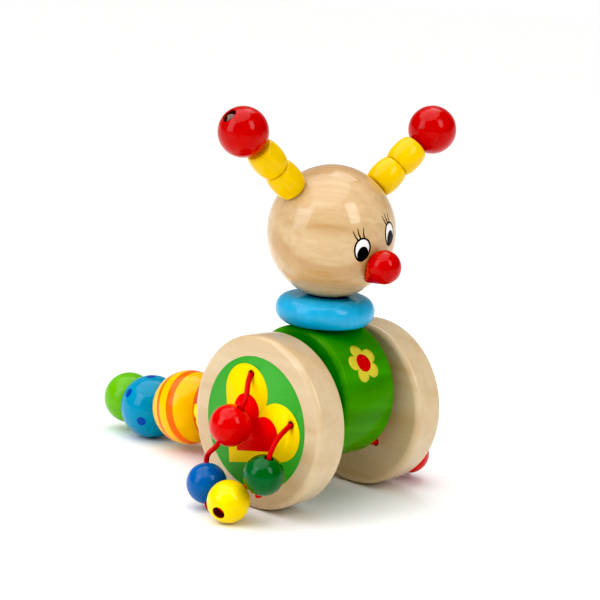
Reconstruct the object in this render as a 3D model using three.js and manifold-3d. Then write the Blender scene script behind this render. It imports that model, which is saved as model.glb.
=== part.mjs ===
// A wooden pull-along toy: a barrel body on two big wheels, a turning neck ring and ball head
// with two beaded antennae, a tail of nested beads, and a loop of threaded beads on each wheel.
// Millimetres. +X is the way it is pulled, +Y its left, +Z up.

import * as THREE from 'three';
import * as BufferGeometryUtils from 'three/addons/utils/BufferGeometryUtils.js';
import Module from 'manifold-3d';

const wasm = await Module();
wasm.setup();

// ---- Fits -------------------------------------------------------------------------------
const GAP = 0.3;            // between pieces that touch
const RUNNING = 0.4;        // radial play of what turns
const CUP_PLAY = 0.6;       // radial play of a ball in its cup
const BORE_PLAY = 0.7;      // radial play of a cord in a bead

// ---- Driving dimensions -----------------------------------------------------------------
const wheel = { radius: 40, width: 17.5, fillet: 3, innerFace: 25, facets: 48, axleSeat: 10 };
const axle = { radius: 5 };
const spacer = { radius: 8 };
const barrel = { radius: 32, width: 34.5, fillet: 3, rise: 10, seatCut: 0.7, facets: 48 };
const ring = { radius: 23.2, height: 13.5, rimRound: 6.5 };
const dowel = { radius: 4, intoBarrel: 25, intoHead: 20 };
const head = { radius: 29.75, halfHeight: 30.9, flatCut: 1.5, forward: 0.95 };
const nose = { radius: 7.7, neckRadius: 2.6, pegRadius: 2.2, pegDepth: 8 };
const noseSeat = { azimuth: -0.2, elevation: -36.8, sink: 0.6 };
const noseTip = { azimuth: -2.9, elevation: -18, distance: 36.2 };
const antennaCord = { radius: 1.2, intoHead: 12, knot: 2.7 };
const antennaBead = { length: 13.6, radius: 7.6, endRadius: 5.9, count: 2 };
const antennaBall = { radius: 11.3, recessRadius: 3.5, recessDepth: 4.2 };
const antennae = [
  { side: 'right', azimuth: -99.9, elevation: 41.3 },
  { side: 'left', azimuth: 71.8, elevation: 42.8 },
];
const tailCord = { radius: 1.5, boreRadius: 2.9, intoBarrel: 12, knot: 3 };
const tailBeads = [
  { colour: 'red', radius: 23.4, slope: -157.6 },
  { colour: 'yellow', radius: 18.9, slope: -169.5, nest: 5.9 },
  { colour: 'blue', radius: 16.3, nest: 6.4 },
  { colour: 'green', radius: 13.2, slope: 177, nest: 11.4 },
];
const tailEnd = { recessRadius: 4.2, recessDepth: 5 };
const pullHole = { radius: 2, depth: 12, slope: -80 };
const loopCord = { radius: 1.2, holePlay: 0.7, holeCircle: 22.3, holeSpread: 45 };
const loopBead = { red: 9.6, blue: 9.3, yellow: 9.6, green: 9.1 };
const loopKnot = { out: 4.5, recessPlay: 0.35, strandOffset: 0.8 };

// Each loop is threaded through its beads in order. Places are measured from the centre of the
// wheel's outer face: forward, outward, up. Headings are the way the cord runs there.
const loops = [
  {
    side: 'right',
    sign: -1,
    printAngle: 55.4,
    firstHole: 45,
    leaves: [0.22, 0.68, -0.7],
    enters: [-0.05, -0.9, 0.42],
    stations: [
      { colour: 'red', at: [-2.9, 12.7, 0.4], heading: [-0.41, 0.25, -0.86] },
      { colour: 'blue', at: [-12.2, 16.6, -28.1], heading: [0.33, 0.24, -0.87] },
      { colour: 'yellow', at: [8.4, 22.8, -30.2], heading: [0.25, 0.905, -0.345] },
      { at: [15, 8.5, -25], heading: [0.8, 0.5, -0.2] },
      { colour: 'green', at: [22.9, 16.6, -15.6], heading: [0.3, 0, 0.95] },
    ],
  },
  {
    side: 'left',
    sign: 1,
    printAngle: -2.2,
    firstHole: -45,
    leaves: [-0.05, 0.75, -0.66],
    enters: [0.6, -0.7, 0.4],
    stations: [
      { colour: 'red', at: [13.9, 10.8, -26.9], heading: [-0.3, 0.5, -0.81] },
      { colour: 'blue', at: [-6.5, 15.5, -30.1], heading: [-0.85, -0.4, 0.33] },
      { colour: 'yellow', at: [-28, 20.5, -30], heading: [-0.25, 0.905, -0.345] },
      { colour: 'green', at: [-11, 12, -2], heading: [0.75, -0.2, 0.63] },
    ],
  },
];

// ---- Places worked out from the sizes ---------------------------------------------------
const axleHeight = wheel.radius;
const barrelCentre = new THREE.Vector3(0, 0, axleHeight + barrel.rise);
const seatHeight = barrelCentre.z + barrel.radius - barrel.seatCut;
const ringBottom = seatHeight + GAP;
const headFlat = ringBottom + ring.height + GAP;
const headCentre = new THREE.Vector3(head.forward, 0, headFlat + head.halfHeight - head.flatCut);
const outerFace = wheel.innerFace + wheel.width;

// ---- Small helpers ----------------------------------------------------------------------
const UP_AXIS = new THREE.Vector3(0, 1, 0);
const UP_Z = new THREE.Vector3(0, 0, 1);
const radians = THREE.MathUtils.degToRad;
const degrees = THREE.MathUtils.radToDeg;

function direction(azimuth, elevation) {
  const a = radians(azimuth);
  const e = radians(elevation);
  return new THREE.Vector3(Math.cos(e) * Math.cos(a), Math.cos(e) * Math.sin(a), Math.sin(e));
}

function onSideCircle(angle, radius, y = 0) {
  return new THREE.Vector3(radius * Math.cos(radians(angle)), y, radius * Math.sin(radians(angle)));
}

function along(start, heading, distance) {
  return start.clone().addScaledVector(heading, distance);
}

// Points of an arc about (cx, cy), from one angle to another, both ends included.
function arc(cx, cy, radius, from, to, steps) {
  return Array.from({ length: steps + 1 }, (_, i) => {
    const a = radians(from + ((to - from) * i) / steps);
    return [cx + radius * Math.cos(a), cy + radius * Math.sin(a)];
  });
}

function lathe(profile, facets, start = 0) {
  const points = profile.map(([r, h]) => new THREE.Vector2(Math.max(r, 0), h));
  return new THREE.LatheGeometry(points, facets, start, Math.PI * 2);
}

// Turns a shape made along +Y so that it runs along a heading from a point.
function aim(geometry, point, heading) {
  const turn = new THREE.Quaternion().setFromUnitVectors(UP_AXIS, heading.clone().normalize());
  return geometry.applyQuaternion(turn).translate(point.x, point.y, point.z);
}

function rod(start, end, radius, sides = 16) {
  const heading = end.clone().sub(start);
  const geometry = new THREE.CylinderGeometry(radius, radius, heading.length(), sides);
  geometry.translate(0, heading.length() / 2, 0);
  return aim(geometry, start, heading);
}

function ball(centre, radius, around = 20, rows = 14) {
  return new THREE.SphereGeometry(radius, around, rows).translate(centre.x, centre.y, centre.z);
}

function toSolid(geometry) {
  const bare = geometry.clone();
  bare.deleteAttribute('normal');
  bare.deleteAttribute('uv');
  const merged = BufferGeometryUtils.mergeVertices(bare, 1e-4);
  const mesh = new wasm.Mesh({
    numProp: 3,
    vertProperties: merged.attributes.position.array,
    triVerts: new Uint32Array(merged.index.array),
  });
  return new wasm.Manifold(mesh);
}

function toGeometry(solid) {
  const mesh = solid.getMesh();
  const geometry = new THREE.BufferGeometry();
  geometry.setAttribute('position', new THREE.BufferAttribute(mesh.vertProperties, 3));
  geometry.setIndex(new THREE.BufferAttribute(mesh.triVerts, 1));
  geometry.computeVertexNormals();
  return geometry;
}

function cut(geometry, ...cutters) {
  return toGeometry(cutters.reduce((left, cutter) => left.subtract(toSolid(cutter)), toSolid(geometry)));
}

function join(...geometries) {
  return toGeometry(geometries.map(toSolid).reduce((whole, next) => whole.add(next)));
}

function tube(path, radius, steps) {
  const section = new THREE.Shape();
  section.absarc(0, 0, radius, 0, Math.PI * 2);
  const options = { extrudePath: path, steps, bevelEnabled: false, curveSegments: 4 };
  return new THREE.ExtrudeGeometry(section, options);
}

// ---- Materials --------------------------------------------------------------------------
function paint(colour, roughness = 0.25) {
  return new THREE.MeshStandardMaterial({ color: colour, roughness, metalness: 0 });
}

const materials = {
  wood: paint(0xe8c99a, 0.45),
  bodyGreen: paint(0x2a7d08),
  red: paint(0xc40a06),
  yellow: paint(0xf8d800),
  amber: paint(0xfcad0a),
  blue: paint(0x004db0),
  ringBlue: paint(0x0baade),
  tailBlue: paint(0x067f9c),
  green: paint(0x0c5925),
  tailGreen: paint(0x70ba3d),
  redCord: paint(0xd01018, 0.7),
  elastic: paint(0xe4e0d6, 0.8),
};

const toy = new THREE.Group();

function add(name, geometry, material) {
  const mesh = new THREE.Mesh(geometry, material);
  mesh.name = name;
  toy.add(mesh);
  return mesh;
}

// ---- Wheels, axle and spacers -----------------------------------------------------------
function loopHole(loop, offset) {
  const place = onSideCircle(loop.printAngle + offset, loopCord.holeCircle, loop.sign * outerFace);
  place.z += axleHeight;
  return place;
}

function wheelBlank() {
  // The flats of the tread, not its corners, are at the wheel's radius, so one of them is the foot.
  const r = wheel.radius / Math.cos(Math.PI / wheel.facets);
  const f = wheel.fillet;
  const bore = axle.radius + GAP;
  const profile = [
    [0, wheel.axleSeat],
    [bore, wheel.axleSeat],
    [bore, 0],
    ...arc(r - f, f, f, -90, 0, 2),
    ...arc(r - f, wheel.width - f, f, 0, 90, 2),
    [0, wheel.width],
  ];
  return lathe(profile, wheel.facets, Math.PI / wheel.facets).translate(0, wheel.innerFace, 0);
}

function addWheel(loop) {
  const blank = wheelBlank();
  if (loop.sign < 0) blank.rotateZ(Math.PI);
  blank.translate(0, 0, axleHeight);
  const holes = [-loopCord.holeSpread, loopCord.holeSpread].map((offset) => {
    const mouth = loopHole(loop, offset);
    const outside = mouth.clone().setY(mouth.y * 1.1);
    const inside = mouth.clone().setY(loop.sign * (wheel.innerFace - 1));
    return rod(inside, outside, loopCord.radius + loopCord.holePlay, 12);
  });
  add('wheel_' + loop.side, cut(blank, ...holes), materials.wood);
}

// The stretch of cord that the wheel holds: in at one hole, across the inner face, out at the other.
function addWheelCord(loop) {
  const back = loop.sign * (wheel.innerFace - GAP - loopCord.radius);
  const bend = loopCord.radius * 1.5;
  const [from, to] = [loop.firstHole, -loop.firstHole].map((offset) => loopHole(loop, offset));
  const stop = loop.sign * (outerFace - loopCord.radius * 1.6);
  const across = to.clone().sub(from).setY(0).normalize();
  const path = new THREE.CurvePath();
  const turnIn = [from.clone().setY(back + loop.sign * bend), from.clone().setY(back)];
  const turnOut = [to.clone().setY(back), to.clone().setY(back + loop.sign * bend)];
  const near = along(turnIn[1], across, bend);
  const far = along(turnOut[0], across, -bend);
  path.add(new THREE.LineCurve3(from.clone().setY(stop), turnIn[0]));
  path.add(new THREE.QuadraticBezierCurve3(turnIn[0], turnIn[1], near));
  path.add(new THREE.LineCurve3(near, far));
  path.add(new THREE.QuadraticBezierCurve3(far, turnOut[0], turnOut[1]));
  path.add(new THREE.LineCurve3(turnOut[1], to.clone().setY(stop)));
  add('wheel_cord_' + loop.side, tube(path, loopCord.radius, 20), materials.redCord);
}

function addAxle() {
  const reach = wheel.innerFace + wheel.axleSeat - GAP;
  const centre = new THREE.Vector3(0, 0, axleHeight);
  const ends = [-reach, reach].map((y) => centre.clone().setY(y));
  add('axle', rod(...ends, axle.radius, 24), materials.wood);
}

function addSpacer(loop) {
  const length = wheel.innerFace - barrel.width / 2 - 2 * GAP;
  const bore = axle.radius + GAP;
  const profile = [[bore, 0], [spacer.radius, 0], [spacer.radius, length], [bore, length], [bore, 0]];
  const mesh = add('wheel_spacer_' + loop.side, lathe(profile, 20), materials.wood);
  mesh.position.set(0, loop.sign * (barrel.width / 2 + GAP), axleHeight);
  if (loop.sign < 0) mesh.rotation.z = Math.PI;
}

// ---- Barrel body ------------------------------------------------------------------------
function addBarrel(tailHeading) {
  const half = barrel.width / 2;
  const f = barrel.fillet;
  const profile = [
    [0, -half],
    ...arc(barrel.radius - f, -half + f, f, -90, 0, 2),
    ...arc(barrel.radius - f, half - f, f, 0, 90, 2),
    [0, half],
  ];
  const blank = lathe(profile, barrel.facets).translate(0, 0, barrelCentre.z);
  const seat = new THREE.BoxGeometry(barrel.radius * 2, barrel.width * 2, barrel.radius);
  seat.translate(0, 0, seatHeight + barrel.radius / 2);
  const axis = new THREE.Vector3(0, 0, axleHeight);
  const bore = rod(axis.clone().setY(-barrel.width), axis.clone().setY(barrel.width), axle.radius + RUNNING, 24);
  const top = new THREE.Vector3(0, 0, seatHeight);
  const socket = rod(along(top, UP_Z, -dowel.intoBarrel), along(top, UP_Z, 5), dowel.radius + RUNNING, 20);
  const tailHole = rod(
    along(barrelCentre, tailHeading, barrel.radius - tailCord.intoBarrel),
    along(barrelCentre, tailHeading, barrel.radius + 5),
    tailCord.boreRadius,
  );
  const under = onSideCircle(pullHole.slope, 1);
  const cordHole = rod(
    along(barrelCentre, under, barrel.radius - pullHole.depth),
    along(barrelCentre, under, barrel.radius + 5),
    pullHole.radius,
    12,
  );
  add('body_barrel', cut(blank, seat, bore, socket, tailHole, cordHole), materials.bodyGreen);
}

// ---- Neck -------------------------------------------------------------------------------
function addNeck() {
  const bore = dowel.radius + RUNNING;
  const half = ring.height / 2;
  const bulge = arc(0, 0, 1, -90, 90, 6).map(([c, s]) => [
    ring.radius - ring.rimRound + ring.rimRound * c,
    half + half * s,
  ]);
  const mesh = add('neck_ring', lathe([[bore, 0], ...bulge, [bore, ring.height], [bore, 0]], 28), materials.ringBlue);
  mesh.rotation.x = Math.PI / 2;
  mesh.position.z = ringBottom;
  const bottom = new THREE.Vector3(0, 0, seatHeight - dowel.intoBarrel + GAP);
  const top = new THREE.Vector3(0, 0, headFlat + dowel.intoHead);
  add('neck_dowel', rod(bottom, top, dowel.radius, 20), materials.wood);
}

// ---- Head and nose ----------------------------------------------------------------------
function headShape(grown = 0) {
  const shape = new THREE.SphereGeometry(1, 26, 16).rotateX(Math.PI / 2);
  shape.scale(head.radius + grown, head.radius + grown, head.halfHeight + grown);
  return shape.translate(headCentre.x, headCentre.y, headCentre.z);
}

// How far the head's surface is from its centre in a direction.
function headReach(heading) {
  const level = Math.hypot(heading.x, heading.y) / head.radius;
  const upright = heading.z / head.halfHeight;
  return 1 / Math.hypot(level, upright);
}

function nosePeg(radius, from) {
  const heading = direction(
    (noseSeat.azimuth + noseTip.azimuth) / 2,
    (noseSeat.elevation + noseTip.elevation) / 2,
  );
  return rod(along(headCentre, heading, from), along(headCentre, heading, headReach(heading) + 4), radius, 12);
}

function addHead() {
  const flat = new THREE.BoxGeometry(80, 80, 20).translate(0, 0, headFlat - 10);
  const base = new THREE.Vector3(0, 0, headFlat - 1);
  const socket = rod(base, along(base, UP_Z, dowel.intoHead + 1 + GAP), dowel.radius + GAP, 20);
  const holes = antennae.map((antenna) => {
    const heading = direction(antenna.azimuth, antenna.elevation);
    const reach = headReach(heading);
    const deep = along(headCentre, heading, reach - antennaCord.intoHead - GAP);
    return rod(deep, along(headCentre, heading, reach + 5), antennaCord.radius + BORE_PLAY, 12);
  });
  const pegHole = nosePeg(nose.pegRadius + GAP, head.radius - nose.pegDepth - GAP);
  add('head_ball', cut(headShape(), flat, socket, pegHole, ...holes), materials.wood);
}

function addNose() {
  const seatHeading = direction(noseSeat.azimuth, noseSeat.elevation);
  const seat = along(headCentre, seatHeading, headReach(seatHeading) - noseSeat.sink);
  const tip = along(headCentre, direction(noseTip.azimuth, noseTip.elevation), noseTip.distance);
  const length = seat.distanceTo(tip);
  // A cone that runs smoothly into a ball.
  const flare = degrees(Math.asin((nose.radius - nose.neckRadius) / length));
  const profile = [[0, 0], [nose.neckRadius, 0], ...arc(0, length, nose.radius, -flare, 90, 7)];
  const pear = aim(lathe(profile, 16), seat, tip.clone().sub(seat));
  const seated = cut(pear, headShape(GAP));
  add('nose', join(seated, nosePeg(nose.pegRadius, head.radius - nose.pegDepth)), materials.red);
}

// ---- Antennae ---------------------------------------------------------------------------
function antennaBeadProfile() {
  const { length, radius, endRadius } = antennaBead;
  const bore = antennaCord.radius + BORE_PLAY;
  const steps = 6;
  const side = Array.from({ length: steps + 1 }, (_, i) => [
    endRadius + (radius - endRadius) * Math.sqrt(Math.sin((Math.PI * i) / steps)),
    (length * i) / steps,
  ]);
  return [[bore, 0], ...side, [bore, length], [bore, 0]];
}

function antennaBallProfile() {
  const bore = antennaCord.radius + BORE_PLAY;
  const { radius, recessRadius, recessDepth } = antennaBall;
  const inner = degrees(Math.acos(bore / radius));
  const outer = degrees(Math.acos(recessRadius / radius));
  const mouth = Math.sqrt(radius ** 2 - recessRadius ** 2);
  const shell = arc(0, 0, radius, -inner, outer, 10);
  return [...shell, [recessRadius, mouth - recessDepth], [bore, mouth - recessDepth], shell[0]];
}

function addAntenna(antenna) {
  const heading = direction(antenna.azimuth, antenna.elevation);
  const turn = new THREE.Quaternion().setFromUnitVectors(UP_AXIS, heading);
  const place = (mesh, distance) => {
    mesh.position.copy(along(headCentre, heading, distance));
    mesh.quaternion.copy(turn);
  };
  const name = 'antenna_' + antenna.side;
  const reach = headReach(heading);
  const names = ['lower', 'upper'];
  for (let i = 0; i < antennaBead.count; i++) {
    const mesh = add(`${name}_${names[i]}_bead`, lathe(antennaBeadProfile(), 16), materials.yellow);
    place(mesh, reach + GAP + i * (antennaBead.length + GAP));
  }
  const ballCentre = reach + GAP + antennaBead.count * (antennaBead.length + GAP) + antennaBall.radius;
  place(add(name + '_ball', lathe(antennaBallProfile(), 20), materials.red), ballCentre);
  const floor = Math.sqrt(antennaBall.radius ** 2 - antennaBall.recessRadius ** 2) - antennaBall.recessDepth;
  const start = reach - antennaCord.intoHead;
  const knotCentre = ballCentre + floor + GAP + antennaCord.knot * 0.8 - start;
  const knotStart = degrees(Math.acos(antennaCord.radius / antennaCord.knot));
  const profile = [[0, 0], [antennaCord.radius, 0], ...arc(0, knotCentre, antennaCord.knot, -knotStart, 90, 6)];
  place(add(name + '_cord', lathe(profile, 10), materials.elastic), start);
}

// ---- Tail -------------------------------------------------------------------------------
// Each bead nests in a cup in the one before it. The blue bead rests on the ground.
function tailCentres() {
  const centres = [];
  for (const [i, bead] of tailBeads.entries()) {
    const before = i === 0 ? barrelCentre : centres[i - 1];
    const radii = bead.radius + (i === 0 ? barrel.radius + GAP * 2 : tailBeads[i - 1].radius - bead.nest);
    if (bead.colour === 'blue') {
      const drop = before.z - bead.radius;
      centres.push(new THREE.Vector3(before.x - Math.sqrt(radii ** 2 - drop ** 2), 0, bead.radius));
    } else {
      centres.push(along(before, onSideCircle(bead.slope, 1), radii));
    }
  }
  return centres;
}

function addTail(centres) {
  const path = (from, middle, to) => new THREE.QuadraticBezierCurve3(from, middle, to);
  for (const [i, bead] of tailBeads.entries()) {
    const centre = centres[i];
    const before = i === 0 ? barrelCentre : centres[i - 1];
    const front = before.clone().sub(centre).normalize();
    const last = i === tailBeads.length - 1;
    const back = last ? front.clone().negate() : centres[i + 1].clone().sub(centre).normalize();
    const cutters = [
      rod(centre, along(centre, front, bead.radius + 5), tailCord.boreRadius, 12),
      rod(along(centre, back, -1), along(centre, back, bead.radius + 5), tailCord.boreRadius, 12),
    ];
    let cordEnd;
    if (last) {
      cordEnd = bead.radius - tailEnd.recessDepth + GAP;
      const floor = along(centre, back, bead.radius - tailEnd.recessDepth);
      cutters.push(rod(floor, along(floor, back, 20), tailEnd.recessRadius, 16));
    } else {
      const next = tailBeads[i + 1];
      cordEnd = centre.distanceTo(centres[i + 1]) - next.radius - CUP_PLAY - GAP;
      cutters.push(ball(centres[i + 1], next.radius + CUP_PLAY, 28, 18));
    }
    const shape = aim(new THREE.SphereGeometry(bead.radius, 20, 14), centre, back);
    const material = { red: 'red', yellow: 'amber', blue: 'tailBlue', green: 'tailGreen' }[bead.colour];
    add('tail_bead_' + bead.colour, cut(shape, ...cutters), materials[material]);
    const end = along(centre, back, cordEnd + (last ? tailCord.knot * 0.8 : 0));
    const cord = tube(path(along(centre, front, bead.radius - GAP), centre, end), tailCord.radius, 6);
    const whole = last ? join(cord, ball(end, tailCord.knot, 12, 8)) : cord;
    add('tail_cord_' + bead.colour, whole, materials.elastic);
  }
  const heading = centres[0].clone().sub(barrelCentre).normalize();
  const stub = rod(
    along(barrelCentre, heading, barrel.radius - tailCord.intoBarrel + GAP),
    along(barrelCentre, heading, barrel.radius),
    tailCord.radius,
    10,
  );
  add('tail_cord_root', stub, materials.elastic);
}

// ---- Bead loops -------------------------------------------------------------------------
function stationPoint(loop, [forward, outward, up]) {
  return new THREE.Vector3(forward, loop.sign * (outerFace + outward), axleHeight + up);
}

function stationHeading(loop, [forward, outward, up]) {
  return new THREE.Vector3(forward, loop.sign * outward, up).normalize();
}

function addLoop(loop) {
  const stations = [
    { at: loopHole(loop, loop.firstHole), heading: stationHeading(loop, loop.leaves), half: 0 },
    ...loop.stations.map((station) => ({
      ...station,
      at: stationPoint(loop, station.at),
      heading: stationHeading(loop, station.heading),
      half: loopBead[station.colour] ?? 0,
    })),
    { at: loopHole(loop, -loop.firstHole), heading: stationHeading(loop, loop.enters), half: 0 },
  ];
  for (const end of [stations[0], stations.at(-1)]) end.at.y += loop.sign * GAP;
  const bore = loopCord.radius + BORE_PLAY;
  const throatRadius = loopKnot.strandOffset + loopCord.radius + GAP;
  const knotRadius = throatRadius + GAP;
  const strands = [new THREE.CurvePath(), new THREE.CurvePath()];
  let strand = strands[0];
  let exit = stations[0].at;
  let outgoing = stations[0].heading;
  let knotPlace;
  for (const station of stations.slice(1)) {
    const { at, heading, half, colour } = station;
    const aside = new THREE.Vector3(0, 0, 1).cross(heading).normalize();
    const knotted = colour === 'yellow';
    const offset = knotted ? -loopKnot.strandOffset : 0;
    const entry = along(along(at, heading, -half), aside, -offset * loop.sign);
    const reach = exit.distanceTo(entry) * 0.4;
    const [lead, follow] = [along(exit, outgoing, reach), along(entry, heading, -reach)];
    strand.add(new THREE.CubicBezierCurve3(exit, lead, follow, entry));
    if (knotted) {
      knotPlace = along(at, heading, loopKnot.out);
      strand.add(new THREE.LineCurve3(entry, along(entry, heading, half + loopKnot.out)));
      strand = strands[1];
      exit = along(along(at, heading, -half), aside, offset * loop.sign);
      outgoing = heading.clone().negate();
      strand.add(new THREE.LineCurve3(along(exit, heading, half + loopKnot.out), exit));
    } else {
      exit = along(at, heading, half);
      outgoing = heading;
      if (half > 0) strand.add(new THREE.LineCurve3(entry, exit));
    }
    if (!colour) continue;
    const [throat, mouth] = knotted ? [throatRadius, knotRadius + loopKnot.recessPlay] : [bore, bore];
    const shell = arc(0, 0, half, -degrees(Math.acos(throat / half)), degrees(Math.acos(mouth / half)), 8);
    const floor = loopKnot.out - knotRadius - GAP;
    const step = knotted ? [[mouth, floor], [throat, floor]] : [];
    const profile = [...shell, ...step, shell[0]];
    const mesh = add(`loop_${loop.side}_bead_${colour}`, lathe(profile, 14), materials[colour]);
    mesh.position.copy(at);
    mesh.quaternion.setFromUnitVectors(UP_AXIS, heading);
  }
  const tubes = strands.map((path) => tube(path, loopCord.radius, Math.round(path.getLength() / 4)));
  const cord = join(...tubes, ball(knotPlace, knotRadius, 12, 8));
  add('loop_cord_' + loop.side, cord, materials.redCord);
}

// ---- The whole toy ----------------------------------------------------------------------
const centres = tailCentres();
addBarrel(centres[0].clone().sub(barrelCentre).normalize());
addAxle();
for (const loop of loops) {
  addWheel(loop);
  addSpacer(loop);
  addWheelCord(loop);
}
addNeck();
addHead();
addNose();
antennae.forEach(addAntenna);
addTail(centres);

// The origin is on the ground under the middle of the toy, without its loose bead loops.
const box = new THREE.Box3().setFromObject(toy, true);
loops.forEach(addLoop);
const middle = box.getCenter(new THREE.Vector3());
toy.position.set(-middle.x, -middle.y, -box.min.z);

export default toy;
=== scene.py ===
"""A wooden pull-along toy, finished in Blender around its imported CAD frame.

Sizes are in millimetres in the toy's own frame: +X the way it is pulled, +Y its left, +Z up, with
the axle over x = 0, y = 0 and the ground at z = 0. at() turns them into metres in the row frame.
"""
import math

import bmesh
import bpy
from mathutils import Matrix, Vector
from mathutils.geometry import tessellate_polygon


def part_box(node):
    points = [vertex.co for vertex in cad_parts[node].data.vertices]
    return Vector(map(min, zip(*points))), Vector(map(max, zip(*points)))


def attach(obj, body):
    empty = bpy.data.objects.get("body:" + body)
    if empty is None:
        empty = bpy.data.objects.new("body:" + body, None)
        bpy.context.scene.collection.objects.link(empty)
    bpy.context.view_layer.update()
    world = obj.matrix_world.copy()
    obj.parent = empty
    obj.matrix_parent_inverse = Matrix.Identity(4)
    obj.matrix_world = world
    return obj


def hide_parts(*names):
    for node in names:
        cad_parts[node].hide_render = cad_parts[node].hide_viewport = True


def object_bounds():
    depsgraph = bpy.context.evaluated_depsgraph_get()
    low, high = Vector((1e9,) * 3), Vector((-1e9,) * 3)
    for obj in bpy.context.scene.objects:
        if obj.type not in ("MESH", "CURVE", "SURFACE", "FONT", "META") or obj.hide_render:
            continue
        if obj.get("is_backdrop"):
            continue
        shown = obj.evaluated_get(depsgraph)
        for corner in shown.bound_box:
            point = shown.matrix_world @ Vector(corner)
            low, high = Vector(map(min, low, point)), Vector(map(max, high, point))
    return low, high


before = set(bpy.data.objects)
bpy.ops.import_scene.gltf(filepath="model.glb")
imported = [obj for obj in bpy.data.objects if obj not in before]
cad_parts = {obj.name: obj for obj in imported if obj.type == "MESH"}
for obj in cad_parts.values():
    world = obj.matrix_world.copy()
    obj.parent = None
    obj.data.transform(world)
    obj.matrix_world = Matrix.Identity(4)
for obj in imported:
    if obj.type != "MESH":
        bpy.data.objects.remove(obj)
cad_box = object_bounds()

MM = 0.001

# ---- Sizes, the same as the CAD's ----------------------------------------------------------
GAP = 0.3
PLAY = 0.7
WHEEL = dict(radius=40, width=17.5, fillet=3, inner=25, seat=10)
AXLE_RADIUS = 5
SPACER_RADIUS = 8
BARREL = dict(radius=32, width=34.5, fillet=3, rise=10, seat_cut=0.7)
RING = dict(radius=23.2, height=13.5, rim=6.5)
DOWEL = dict(radius=4, into_barrel=25, into_head=20)
HEAD = dict(radius=29.75, half_height=30.9, flat_cut=1.5, forward=0.95)
NOSE = dict(radius=7.7, neck=2.6, peg=2.2, peg_depth=8)
NOSE_SEAT = dict(azimuth=-0.2, elevation=-36.8, sink=0.6)
NOSE_TIP = dict(azimuth=-2.9, elevation=-18, distance=36.2)
ANTENNA_CORD = dict(radius=1.2, into_head=12)
ANTENNA_BEAD = dict(length=13.6, radius=7.6, end=5.9)
ANTENNA_BALL = dict(radius=11.3, recess=3.5, depth=4.2)
ANTENNAE = {"right": (-99.9, 41.3), "left": (71.8, 42.8)}
TAIL_CORD = dict(radius=1.5, bore=2.9, knot=3)
CUP_PLAY = 0.6
TAIL_BEADS = [
    dict(colour="red", radius=23.4, slope=-157.6),
    dict(colour="yellow", radius=18.9, slope=-169.5, nest=5.9),
    dict(colour="blue", radius=16.3, nest=6.4),
    dict(colour="green", radius=13.2, slope=177, nest=11.4),
]
TAIL_END = dict(recess=4.2, depth=5)
HOLE_DEPTH = 12
PULL_HOLE = dict(radius=2, slope=-80)
LOOP_CORD = dict(radius=1.2, hole=1.9, circle=22.3, spread=45)
LOOP_BEAD = dict(red=9.6, blue=9.3, yellow=9.6, green=9.1)
LOOP_KNOT = dict(radius=2.6, out=4.5, recess=2.95, throat=2.3, strand=0.8)
KNOTS = dict(loop=1.75, wheel=1.5, antenna=1.55, tail=1.9)

# Prints, in millimetres on their surfaces, and the thickness of each coat of ink.
INK = dict(wheel=0.04, curved=0.05)
PRINT_DISC = 30.6
HEART = dict(apex=-26.4, lobe=7.3, aside=12.6, radius=13.2)
HEART_MIDDLE = dict(apex=-18.4, lobe=0.7, aside=7.4, radius=7.9)
FLOWER = dict(petals=5, start=30, reach=5.9, size=3.6, middle=4.3)
BARREL_FLOWER = dict(angle=34.3, y=-1.05)
TAIL_FLOWERS = {"right": -97.5, "left": 97.5}
EYES = {"right": (-19.4, -7.2), "left": (14.2, 4.9)}
EYE = dict(width=4.25, height=5.6, rim=0.8)
PUPIL = dict(place=(0.45, -1.8), width=2.8, height=3.4)
LASHES = [((-2.4, 4.1), (-5.2, 8.4)), ((-1.2, 4.9), (-3.0, 9.7)), ((0.5, 5.2), (0.0, 10.0))]
LASH_WIDTH = 0.78
TAIL_STRIPES = [(-4.6, 3.9), (3.5, 2.4)]
TAIL_DOT_RADIUS = 2.5
TAIL_DOTS = [
    (-105.6, 30.8), (-62.2, -15.7), (-95, 84), (-150, -8), (-15, 25), (25, -12),
    (60, 32), (105, -18), (142, 30), (-170, 40), (-108, -52), (70, -60),
]

# Each loop of cord, threaded through its beads in order: forward, outward and up from the centre
# of the wheel's outer face, and the way the cord runs there.
LOOPS = [
    dict(
        side="right", sign=-1, print_angle=55.4, first_hole=45,
        leaves=(0.22, 0.68, -0.7), enters=(-0.05, -0.9, 0.42),
        stations=[
            ("red", (-2.9, 12.7, 0.4), (-0.41, 0.25, -0.86)),
            ("blue", (-12.2, 16.6, -28.1), (0.33, 0.24, -0.87)),
            ("yellow", (8.4, 22.8, -30.2), (0.25, 0.905, -0.345)),
            (None, (15, 8.5, -25), (0.8, 0.5, -0.2)),
            ("green", (22.9, 16.6, -15.6), (0.3, 0, 0.95)),
        ],
    ),
    dict(
        side="left", sign=1, print_angle=-2.2, first_hole=-45,
        leaves=(-0.05, 0.75, -0.66), enters=(0.6, -0.7, 0.4),
        stations=[
            ("red", (13.9, 10.8, -26.9), (-0.3, 0.5, -0.81)),
            ("blue", (-6.5, 15.5, -30.1), (-0.85, -0.4, 0.33)),
            ("yellow", (-28, 20.5, -30), (-0.25, 0.905, -0.345)),
            ("green", (-11, 12, -2), (0.75, -0.2, 0.63)),
        ],
    ),
]

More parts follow.
